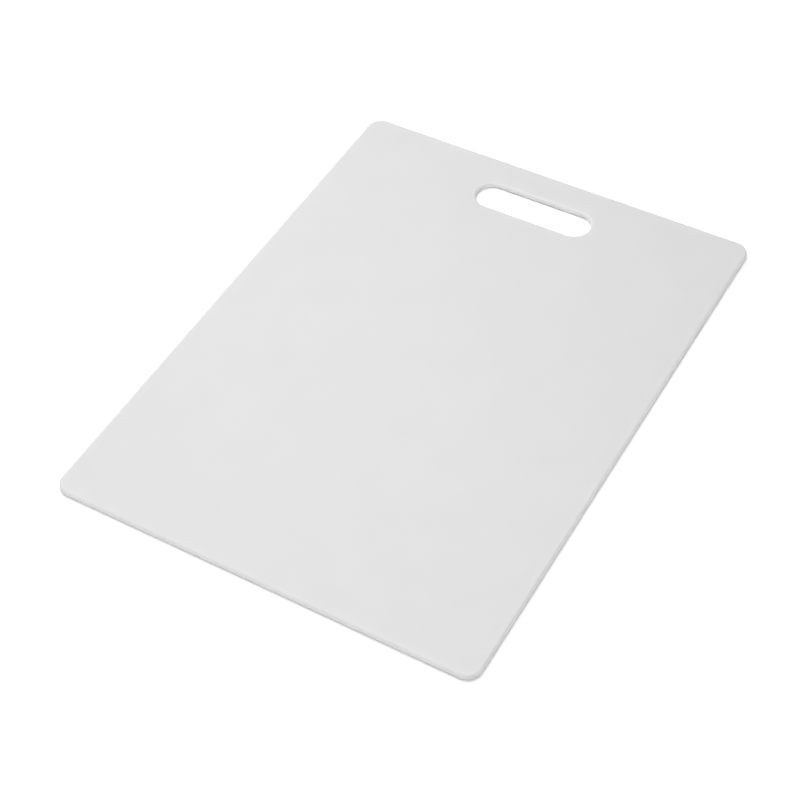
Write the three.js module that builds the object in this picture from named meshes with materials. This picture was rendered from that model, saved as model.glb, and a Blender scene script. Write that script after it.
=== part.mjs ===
// A one-piece white polyethylene cutting board with a hand slot through one short end.
//
// Units are millimetres. The board lies flat: +Z is up, its underside is on Z = 0, and the
// origin is at the centre of the underside. X runs across the board, and +Y runs along it
// towards the end with the hand slot.

import * as THREE from "three";

// Driving dimensions.
const INCH = 25.4;
const BOARD_WIDTH = 11 * INCH; // along X
const BOARD_LENGTH = 14.5 * INCH; // along Y
const BOARD_THICKNESS = 4; // along Z
const CORNER_RADIUS = 9.5; // of the four corners, seen from above
const EDGE_RADIUS = 1.5; // of the rounding along every rim, the slot's two rims included
const SLOT_LENGTH = 82; // end to end, along X
const SLOT_WIDTH = 22; // along Y; both ends of the slot are half circles
const SLOT_MARGIN = 22; // material between the slot and the short end, where the hand grips

// Facets.
const CORNER_SEGMENTS = 14; // on each quarter circle of the outline
const SLOT_END_SEGMENTS = 28; // on each half circle of the slot
const EDGE_SEGMENTS = 8; // on each quarter circle of a rim

const WHITE_POLYETHYLENE = new THREE.MeshStandardMaterial({
  color: 0xe6e6e6,
  roughness: 0.55,
  metalness: 0,
});

// Points on an arc from startAngle to endAngle, both ends included.
function arcPoints(centre, radius, startAngle, endAngle, segments) {
  const points = [];
  for (let i = 0; i <= segments; i += 1) {
    const angle = startAngle + ((endAngle - startAngle) * i) / segments;
    points.push(
      new THREE.Vector2(centre.x + radius * Math.cos(angle), centre.y + radius * Math.sin(angle)),
    );
  }
  return points;
}

// The board seen from above: a rectangle with four round corners, anticlockwise.
function boardOutline() {
  const x = BOARD_WIDTH / 2 - CORNER_RADIUS;
  const y = BOARD_LENGTH / 2 - CORNER_RADIUS;
  const corners = [
    new THREE.Vector2(x, y),
    new THREE.Vector2(-x, y),
    new THREE.Vector2(-x, -y),
    new THREE.Vector2(x, -y),
  ];
  return corners.flatMap((corner, i) =>
    arcPoints(corner, CORNER_RADIUS, (i * Math.PI) / 2, ((i + 1) * Math.PI) / 2, CORNER_SEGMENTS),
  );
}

// The hand slot seen from above: a straight slot with half-round ends, clockwise as a hole is.
function slotOutline() {
  const radius = SLOT_WIDTH / 2;
  const endCentreX = SLOT_LENGTH / 2 - radius;
  const y = BOARD_LENGTH / 2 - SLOT_MARGIN - radius;
  const right = new THREE.Vector2(endCentreX, y);
  const left = new THREE.Vector2(-endCentreX, y);
  return [
    ...arcPoints(right, radius, Math.PI / 2, -Math.PI / 2, SLOT_END_SEGMENTS),
    ...arcPoints(left, radius, -Math.PI / 2, (-3 * Math.PI) / 2, SLOT_END_SEGMENTS),
  ];
}

// The slab. The bevel rounds the upper and lower rims of the outline and of the slot alike, and
// its negative offset keeps the outline's and the slot's stated sizes at mid thickness.
function makeBoard() {
  const shape = new THREE.Shape(boardOutline());
  shape.holes.push(new THREE.Path(slotOutline()));
  const geometry = new THREE.ExtrudeGeometry(shape, {
    depth: BOARD_THICKNESS - 2 * EDGE_RADIUS,
    steps: 1,
    bevelEnabled: true,
    bevelThickness: EDGE_RADIUS,
    bevelSize: EDGE_RADIUS,
    bevelOffset: -EDGE_RADIUS,
    bevelSegments: EDGE_SEGMENTS,
  });
  const board = new THREE.Mesh(geometry, WHITE_POLYETHYLENE);
  board.name = "board";
  board.position.z = EDGE_RADIUS; // the bevel reaches one radius below the extrusion's start
  return board;
}

const cuttingBoard = new THREE.Group();
cuttingBoard.add(makeBoard());

export default cuttingBoard;
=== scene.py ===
import math

import bmesh
import bpy
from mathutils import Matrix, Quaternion, Vector


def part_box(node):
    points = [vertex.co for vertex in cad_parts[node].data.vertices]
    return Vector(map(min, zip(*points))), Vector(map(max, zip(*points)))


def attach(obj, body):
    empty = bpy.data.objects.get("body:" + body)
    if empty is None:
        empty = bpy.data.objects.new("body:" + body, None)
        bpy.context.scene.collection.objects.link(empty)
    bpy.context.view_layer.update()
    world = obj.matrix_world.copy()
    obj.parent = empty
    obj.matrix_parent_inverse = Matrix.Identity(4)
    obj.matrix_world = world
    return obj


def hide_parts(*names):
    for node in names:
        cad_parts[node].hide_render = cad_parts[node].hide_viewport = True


# Looks of a one-piece white polyethylene cutting board with a hand slot.
#
# Metres, in the CAD frame: the board lies flat with its underside on Z = 0 and the origin at the
# centre of the underside. X runs across it, and +Y along it towards the end with the hand slot.

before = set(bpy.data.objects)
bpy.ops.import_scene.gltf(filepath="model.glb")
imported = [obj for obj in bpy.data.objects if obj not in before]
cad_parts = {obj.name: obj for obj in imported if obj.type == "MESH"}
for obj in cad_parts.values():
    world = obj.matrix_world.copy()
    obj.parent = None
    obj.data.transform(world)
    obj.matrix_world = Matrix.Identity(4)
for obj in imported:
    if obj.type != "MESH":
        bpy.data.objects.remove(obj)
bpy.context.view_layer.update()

NODE = "board"
BODY = "root"

# Outline, slot and rims, as in the CAD model. The board's own three sizes come from its box.
CORNER_RADIUS = 0.0095
EDGE_RADIUS = 0.0015
SLOT_LENGTH = 0.082
SLOT_WIDTH = 0.022
SLOT_MARGIN = 0.022

# The slot's two half-round ends are centred SLOT_END_X off the board's centre line. The flat face
# begins at SLOT_REACH from the straight line between those two centres.
SLOT_END_X = (SLOT_LENGTH - SLOT_WIDTH) / 2
SLOT_REACH = SLOT_WIDTH / 2 + EDGE_RADIUS

# Fineness of the mesh: the grid's cells, and the steps of a corner, a rim and a band of face that
# joins a rim to the grid.
CELL = 0.0025
CORNER_STEPS = 16
RIM_STEPS = 10
BAND_STEPS = 3
WELD_DISTANCE = 1e-6

# The band round the slot, between its rim and the grid.
BAND_ALONG_X = 0.009
BAND_ALONG_Y = 0.004

# Camera, held over the board's near right side.
CAMERA_AIM = Vector((0.01019, -0.02819, 0.002))
CAMERA_AZIMUTH = math.radians(32.954)
CAMERA_ELEVATION = math.radians(48.993)
CAMERA_DISTANCE = 1.0985
CAMERA_ROLL = math.radians(3.925)
CAMERA_LENS = 82.430
CAMERA_SHIFT_X = -0.0120
SENSOR_WIDTH = 36
CLIP_START = 0.01

# Polyethylene: brightness and clouding, roughness, the relief of the moulded grain (a fine one
# over a broad one) and of small nibs, and the light within the plastic. NOISE_RANGE is the part
# of a noise's 0 to 1 that it really uses. A surface has the face's roughness where its normal is
# upright, and the rim's where the normal's upright part is RIM_TURN or less.
WHITE = 0.79
CLOUDING = 0.008
CLOUD_SIZE = 0.03
NOISE_RANGE = (0.3, 0.7)
FACE_ROUGHNESS = 0.50
RIM_ROUGHNESS = 0.42
GRAIN_ROUGHNESS = 0.04
RIM_TURN = 0.5
GRAIN_SIZE = 0.0009
GRAIN_HEIGHT = 0.000015
PEEL_SIZE = 0.003
PEEL_HEIGHT = 0.00002
NIB_SPACING = 0.008
NIB_RADIUS = 0.0006
NIB_SHARE = 0.3
NIB_HEIGHT = 0.00004
REFRACTION = 1.54
TRANSLUCENCE = 0.8
LIGHT_DEPTH = 0.003

# Stage. The board lies a hair above the floor, as a slightly bowed sheet does, so a thin dark line
# runs along its foot. The floor glows a little round the board and within its slot. The camera sees
# only the floor close to the board, at the brightness of an over-exposed photograph; further out
# the white backdrop takes over.
STAGE_REACH = 6
SHELL_DETAIL = 3
FLOOR_GAP = 0.00065
FLOOR_WHITE = 0.9
FLOOR_GLOW = 0.2
SLOT_GLOW = 0.15
FLOOR_SEEN = 1.35
SEEN_ABOVE = 0.00005
SEEN_FROM = 0.010
SEEN_TO = 0.045
BACKDROP_WHITE = 1.1

# Studio light: name, azimuth and elevation in degrees, distance in metres, power in watts.
SOFTBOX_SIZE = 0.9
SOFTBOXES = (
    ("overhead", 0, 90, 1.1, 7.1),
    ("high_far_left", 240, 55, 1.2, 4.2),
    ("low_near", 0, 22, 1.3, 2.9),
    ("low_right", 90, 22, 1.3, 1.9),
    ("low_far_left", 225, 22, 1.3, 1.0),
    ("low_left", 315, 22, 1.3, 1.0),
)
ROOM_LIGHT = 0.15


def stepped(start, end, count):
    """Evenly spaced numbers from start to end, both included."""
    return [start + (end - start) * i / count for i in range(count + 1)]


def grid_lines(stops):
    """Lines through every stop, with the gaps between them cut into cells of about CELL."""
    lines = stops[:1]
    for start, end in zip(stops, stops[1:]):
        lines += stepped(start, end, max(1, round((end - start) / CELL)))[1:]
    return lines


def quarter(centre_reach, centre_z, start, end):
    """Rim points (reach, z) on a quarter circle of the edge radius, from angle start to end."""
    return [
        (centre_reach + EDGE_RADIUS * math.cos(a), centre_z + EDGE_RADIUS * math.sin(a))
        for a in stepped(math.radians(start), math.radians(end), RIM_STEPS)
    ]


def mesh_piece(name, bm):
    """A new object of the scene with the faces of bm, which it frees."""
    mesh = bpy.data.meshes.new(name)
    bm.to_mesh(mesh)
    bm.free()
    piece = bpy.data.objects.new(name, mesh)
    bpy.context.scene.collection.objects.link(piece)
    return piece


class Slab:
    """Collects the board's faces in patches, which weld() joins where they meet."""

    def __init__(self):
        self.bm = bmesh.new()

    def patch(self, rows, closed=False):
        """Quads between rows of points. A closed patch joins each row's last point to its first."""
        rows = [[self.bm.verts.new(p) for p in row] for row in rows]
        for low, high in zip(rows, rows[1:]):
            for i in range(len(low) - (0 if closed else 1)):
                j = (i + 1) % len(low)
                self.bm.faces.new((low[i], low[j], high[j], high[i]))

    def weld(self):
        bmesh.ops.remove_doubles(self.bm, verts=self.bm.verts, dist=WELD_DISTANCE)
        bmesh.ops.recalc_face_normals(self.bm, faces=self.bm.faces)


def ring(core, reach, z):
    """A closed row of points: each core point moved out along its own direction by reach."""
    return [Vector((*(point + direction * reach), z)) for point, direction in core]


def outline_core(xs, ys):
    """(point, outward direction) round the rectangle of grid lines, with each corner fanned out."""
    core = []
    corners = [(xs[-1], ys[-1]), (xs[0], ys[-1]), (xs[0], ys[0]), (xs[-1], ys[0])]
    sides = [
        [(x, ys[-1]) for x in reversed(xs)],
        [(xs[0], y) for y in reversed(ys)],
        [(x, ys[0]) for x in xs],
        [(xs[-1], y) for y in ys],
    ]
    for k, (corner, side) in enumerate(zip(corners, sides)):
        fan = stepped(k * math.pi / 2, (k + 1) * math.pi / 2, CORNER_STEPS)
        core += [(Vector(corner), Vector((math.cos(a), math.sin(a)))) for a in fan]
        outward = Vector((math.cos(fan[-1]), math.sin(fan[-1])))
        core += [(Vector(point), outward) for point in side[1:-1]]
    return core


def block_edge(xs, ys):
    """Points round a rectangular block of grid lines, anticlockwise."""
    return (
        [Vector((x, ys[0])) for x in xs[:-1]]
        + [Vector((xs[-1], y)) for y in ys[:-1]]
        + [Vector((x, ys[-1])) for x in reversed(xs[1:])]
        + [Vector((xs[0], y)) for y in reversed(ys[1:])]
    )


def slot_centre(half_y):
    """Where the middle of the hand slot lies along Y, on a board that reaches half_y."""
    return half_y - SLOT_MARGIN - SLOT_WIDTH / 2


def slot_core(block, slot_y):
    """(point, outward direction) on the slot's middle line, for each point round the block."""
    core = []
    for point in block:
        nearest = Vector((max(-SLOT_END_X, min(SLOT_END_X, point.x)), slot_y))
        core.append((nearest, (point - nearest).normalized()))
    return core


def add_face(slab, z, columns, rows, outline, slot):
    """One flat face: a grid with a block left out round the slot, and a band on either side."""
    left, middle, right = columns
    below, beside, above = rows
    xs = left[:-1] + middle + right[1:]
    for across, along in ((xs, below), (left, beside), (right, beside), (xs, above)):
        slab.patch([[Vector((x, y, z)) for x in across] for y in along])

    outer = [Vector((*point, z)) for point in block_edge(middle, beside)]
    inner = ring(slot, SLOT_REACH, z)
    band = [[a.lerp(b, t) for a, b in zip(inner, outer)] for t in stepped(0, 1, BAND_STEPS)]
    slab.patch(band, closed=True)
    reaches = stepped(0, CORNER_RADIUS - EDGE_RADIUS, BAND_STEPS)
    slab.patch([ring(outline, reach, z) for reach in reaches], closed=True)


def add_rims(slab, low_z, high_z, outline, slot):
    """The rounded walls of the outline and of the slot."""
    upper = high_z - EDGE_RADIUS
    lower = low_z + EDGE_RADIUS
    reach = CORNER_RADIUS - EDGE_RADIUS
    outer = quarter(reach, upper, 90, 0) + quarter(reach, lower, 0, -90)
    slab.patch([ring(outline, *point) for point in outer], closed=True)
    inner = quarter(SLOT_REACH, upper, 90, 180) + quarter(SLOT_REACH, lower, 180, 270)
    slab.patch([ring(slot, *point) for point in inner], closed=True)


def make_board(low, high):
    """The board as one closed mesh: gridded faces, and rims swept round outline and slot."""
    core_x = high.x - CORNER_RADIUS
    core_y = high.y - CORNER_RADIUS
    slot_y = slot_centre(high.y)
    block_x = SLOT_END_X + SLOT_REACH + BAND_ALONG_X
    block_y = SLOT_REACH + BAND_ALONG_Y

    left = grid_lines([-core_x, -block_x])
    middle = grid_lines([-block_x, -SLOT_END_X, SLOT_END_X, block_x])
    right = grid_lines([block_x, core_x])
    below = grid_lines([-core_y, slot_y - block_y])
    beside = grid_lines([slot_y - block_y, slot_y + block_y])
    above = grid_lines([slot_y + block_y, core_y])

    outline = outline_core(left[:-1] + middle + right[1:], below[:-1] + beside + above[1:])
    slot = slot_core(block_edge(middle, beside), slot_y)
    slab = Slab()
    for z in (low.z, high.z):
        add_face(slab, z, (left, middle, right), (below, beside, above), outline, slot)
    add_rims(slab, low.z, high.z, outline, slot)
    slab.weld()

    piece = mesh_piece("board_surface", slab.bm)
    piece.data.polygons.foreach_set("use_smooth", [True] * len(piece.data.polygons))
    return piece


def grey(value):
    return (value, value, value, 1)


class Shading:
    """Adds and joins nodes in the node tree of a material or a world."""

    def __init__(self, owner):
        owner.use_nodes = True
        self.tree = owner.node_tree

    def add(self, kind, inputs=None, **settings):
        """A new node. An input is a number, a colour, or another node's output socket."""
        node = self.tree.nodes.new(kind)
        for name, value in settings.items():
            setattr(node, name, value)
        for name, value in (inputs or {}).items():
            self.feed(node.inputs[name], value)
        return node

    def feed(self, socket, value):
        if isinstance(value, bpy.types.NodeSocket):
            self.tree.links.new(value, socket)
        else:
            socket.default_value = value

    def noise(self, place, size):
        """Smooth noise from 0 to 1, with blotches of about size metres."""
        return self.add("ShaderNodeTexNoise", {"Vector": place, "Scale": 1 / size}).outputs["Fac"]

    def spread(self, value, low, high, start=0.0, end=1.0, smooth=False):
        """Maps value from start..end to low..high, and holds it there outside."""
        inputs = {
            "Value": value,
            "From Min": start,
            "From Max": end,
            "To Min": low,
            "To Max": high,
        }
        kind = "SMOOTHSTEP" if smooth else "LINEAR"
        return self.add("ShaderNodeMapRange", inputs, interpolation_type=kind).outputs["Result"]

    def math(self, operation, first, second=0.0):
        return self.add("ShaderNodeMath", {0: first, 1: second}, operation=operation).outputs[0]

    def bump(self, height, distance, normal=None):
        """Relief of distance metres for a height of 1, laid over an earlier normal."""
        inputs = {"Height": height, "Distance": distance}
        if normal is not None:
            inputs["Normal"] = normal
        return self.add("ShaderNodeBump", inputs).outputs["Normal"]


def specks(shading, place, spacing, radius, share):
    """1 in the middle of small round dots, in about that share of the cells of a loose grid."""
    inputs = {"Vector": place, "Scale": 1 / spacing}
    cells = shading.add("ShaderNodeTexVoronoi", inputs, voronoi_dimensions="2D")
    draw = shading.add("ShaderNodeSeparateColor", {"Color": cells.outputs["Color"]}).outputs["Red"]
    reach = shading.spread(draw, 0.0, radius / spacing, 1 - share, 1)
    rise = shading.math("SUBTRACT", reach, cells.outputs["Distance"])
    return shading.spread(rise, 0.0, 1.0, 0.0, radius / spacing, smooth=True)


def polyethylene():
    """Matte white polyethylene: a fine moulded grain, faint clouding, and smoother rims."""
    material = bpy.data.materials.new("white_polyethylene")
    shading = Shading(material)
    shader = material.node_tree.nodes["Principled BSDF"]
    place = shading.add("ShaderNodeTexCoord").outputs["Object"]

    clouds = shading.noise(place, CLOUD_SIZE)
    grain = shading.noise(place, GRAIN_SIZE)
    peel = shading.noise(place, PEEL_SIZE)
    nibs = specks(shading, place, NIB_SPACING, NIB_RADIUS, NIB_SHARE)

    clouding = shading.spread(clouds, 1 - CLOUDING, 1 + CLOUDING, *NOISE_RANGE)
    bright = shading.math("MULTIPLY", clouding, WHITE)
    colour = shading.add("ShaderNodeCombineColor", {"Red": bright, "Green": bright, "Blue": bright})
    shading.feed(shader.inputs["Base Color"], colour.outputs["Color"])

    normal = shading.add("ShaderNodeNewGeometry").outputs["Normal"]
    facing_up = shading.add("ShaderNodeSeparateXYZ", {"Vector": normal}).outputs["Z"]
    face = shading.math("ABSOLUTE", facing_up)
    rough = shading.spread(face, RIM_ROUGHNESS, FACE_ROUGHNESS, RIM_TURN, 1.0)
    uneven = shading.spread(grain, -GRAIN_ROUGHNESS, GRAIN_ROUGHNESS, *NOISE_RANGE)
    shading.feed(shader.inputs["Roughness"], shading.math("ADD", rough, uneven))

    relief = shading.bump(peel, PEEL_HEIGHT)
    relief = shading.bump(grain, GRAIN_HEIGHT, relief)
    relief = shading.bump(nibs, NIB_HEIGHT, relief)
    shading.feed(shader.inputs["Normal"], relief)

    shader.inputs["IOR"].default_value = REFRACTION
    shader.inputs["Subsurface Weight"].default_value = TRANSLUCENCE
    shader.inputs["Subsurface Radius"].default_value = (1.0, 1.0, 1.0)
    shader.inputs["Subsurface Scale"].default_value = LIGHT_DEPTH
    return material


def direction(azimuth, elevation):
    """The way from the board to a point: azimuth 0 is the near side (-Y), 90 degrees the right."""
    return Vector((
        math.sin(azimuth) * math.cos(elevation),
        -math.cos(azimuth) * math.cos(elevation),
        math.sin(elevation),
    ))


def make_camera():
    data = bpy.data.cameras.new("camera")
    data.sensor_width = SENSOR_WIDTH
    data.lens = CAMERA_LENS
    data.shift_x = CAMERA_SHIFT_X
    data.clip_start = CLIP_START
    camera = bpy.data.objects.new("camera", data)
    back = direction(CAMERA_AZIMUTH, CAMERA_ELEVATION)
    camera.location = CAMERA_AIM + back * CAMERA_DISTANCE
    camera.rotation_mode = "QUATERNION"
    roll = Quaternion((0, 0, 1), -CAMERA_ROLL)
    camera.rotation_quaternion = (-back).to_track_quat("-Z", "Y") @ roll
    bpy.context.scene.collection.objects.link(camera)
    bpy.context.scene.camera = camera


def stage_material(name):
    """A material with only an output node, and its helper."""
    material = bpy.data.materials.new(name)
    shading = Shading(material)
    shading.tree.nodes.remove(shading.tree.nodes["Principled BSDF"])
    return material, shading, shading.tree.nodes["Material Output"].inputs["Surface"]


def glowing_white():
    """Seen as pure white, however the scene is lit."""
    material, shading, surface = stage_material("backdrop_white")
    glow = shading.add("ShaderNodeEmission", {"Color": grey(1), "Strength": BACKDROP_WHITE})
    shading.feed(surface, glow.outputs["Emission"])
    return material


def beyond(shading, half_x, half_y, centre_y=0.0):
    """How far a point of the floor lies outside a rectangle of those half sizes, in metres."""
    place = shading.add("ShaderNodeTexCoord").outputs["Object"]
    axes = shading.add("ShaderNodeSeparateXYZ", {"Vector": place}).outputs
    along_y = shading.math("SUBTRACT", axes["Y"], centre_y)
    beyond_x = shading.math("SUBTRACT", shading.math("ABSOLUTE", axes["X"]), half_x)
    beyond_y = shading.math("SUBTRACT", shading.math("ABSOLUTE", along_y), half_y)
    return shading.math("MAXIMUM", beyond_x, beyond_y)


def floor_paint(half_x, half_y):
    """Matt white that glows round the board and in its slot, and doesn't beneath the board."""
    material, shading, surface = stage_material("floor_paint")
    around = shading.math("GREATER_THAN", beyond(shading, half_x, half_y))
    past_slot = beyond(shading, SLOT_LENGTH / 2, SLOT_WIDTH / 2, slot_centre(half_y))
    in_slot = shading.math("LESS_THAN", past_slot)
    glow = shading.math(
        "ADD",
        shading.math("MULTIPLY", around, FLOOR_GLOW),
        shading.math("MULTIPLY", in_slot, SLOT_GLOW),
    )
    light = shading.add("ShaderNodeEmission", {"Color": grey(1), "Strength": glow})
    paint = shading.add("ShaderNodeBsdfDiffuse", {"Color": grey(FLOOR_WHITE)})
    parts = {0: light.outputs["Emission"], 1: paint.outputs["BSDF"]}
    both = shading.add("ShaderNodeAddShader", parts)
    shading.feed(surface, both.outputs["Shader"])
    return material


def fading_paint(half_x, half_y):
    """Matt white that turns clear with the distance from the board's outline."""
    material, shading, surface = stage_material("fading_paint")
    away = beyond(shading, half_x, half_y)
    clear = shading.spread(away, 0.0, 1.0, SEEN_FROM, SEEN_TO, smooth=True)
    paint = shading.add("ShaderNodeBsdfDiffuse", {"Color": grey(FLOOR_SEEN)}).outputs["BSDF"]
    nothing = shading.add("ShaderNodeBsdfTransparent").outputs["BSDF"]
    mix = shading.add("ShaderNodeMixShader", {0: clear, 1: paint, 2: nothing})
    shading.feed(surface, mix.outputs["Shader"])
    return material


def stage_piece(name, material, make):
    """An object of the stage, whose faces make(bm) adds."""
    bm = bmesh.new()
    make(bm)
    piece = mesh_piece(name, bm)
    piece.data.materials.append(material)
    return piece


def only_for_camera(piece):
    """Takes the piece out of all light paths, so that it is seen and does nothing else."""
    piece.visible_diffuse = False
    piece.visible_glossy = False
    piece.visible_transmission = False
    piece.visible_volume_scatter = False
    piece.visible_shadow = False


def make_stage(high):
    """A white floor that bounces light on to the board, and what the camera sees of it."""
    def flat_square(bm):
        bmesh.ops.create_grid(bm, x_segments=1, y_segments=1, size=STAGE_REACH)

    def seen_square(bm):
        bmesh.ops.create_grid(bm, x_segments=1, y_segments=1, size=high.y + SEEN_TO)

    def shell(bm):
        bmesh.ops.create_icosphere(bm, subdivisions=SHELL_DETAIL, radius=STAGE_REACH)

    floor = stage_piece("floor", floor_paint(high.x, high.y), flat_square)
    floor.location.z = -FLOOR_GAP
    floor.visible_camera = False
    seen = stage_piece("floor_seen", fading_paint(high.x, high.y), seen_square)
    seen.location.z = SEEN_ABOVE - FLOOR_GAP
    only_for_camera(seen)
    only_for_camera(stage_piece("backdrop", glowing_white(), shell))


def make_softbox(name, azimuth, elevation, distance, power):
    """A square area light that faces the board. Azimuth 0 is the near side, 90 the right."""
    data = bpy.data.lights.new(name, "AREA")
    data.shape = "SQUARE"
    data.size = SOFTBOX_SIZE
    data.energy = power
    softbox = bpy.data.objects.new(name, data)
    way = direction(math.radians(azimuth), math.radians(elevation))
    softbox.location = way * distance
    softbox.rotation_mode = "QUATERNION"
    softbox.rotation_quaternion = way.to_track_quat("Z", "Y")
    softbox.visible_camera = False
    bpy.context.scene.collection.objects.link(softbox)


def make_lights():
    for softbox in SOFTBOXES:
        make_softbox(*softbox)
    world = bpy.data.worlds.new("world")
    bpy.context.scene.world = world
    world.use_nodes = True
    background = world.node_tree.nodes["Background"]
    background.inputs["Color"].default_value = grey(1)
    background.inputs["Strength"].default_value = ROOM_LIGHT


scene = bpy.context.scene
scene.view_settings.view_transform = "Standard"
low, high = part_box(NODE)
make_camera()
make_stage(high)
make_lights()
board = make_board(low, high)
board.data.materials.append(polyethylene())
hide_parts(NODE)
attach(board, BODY)
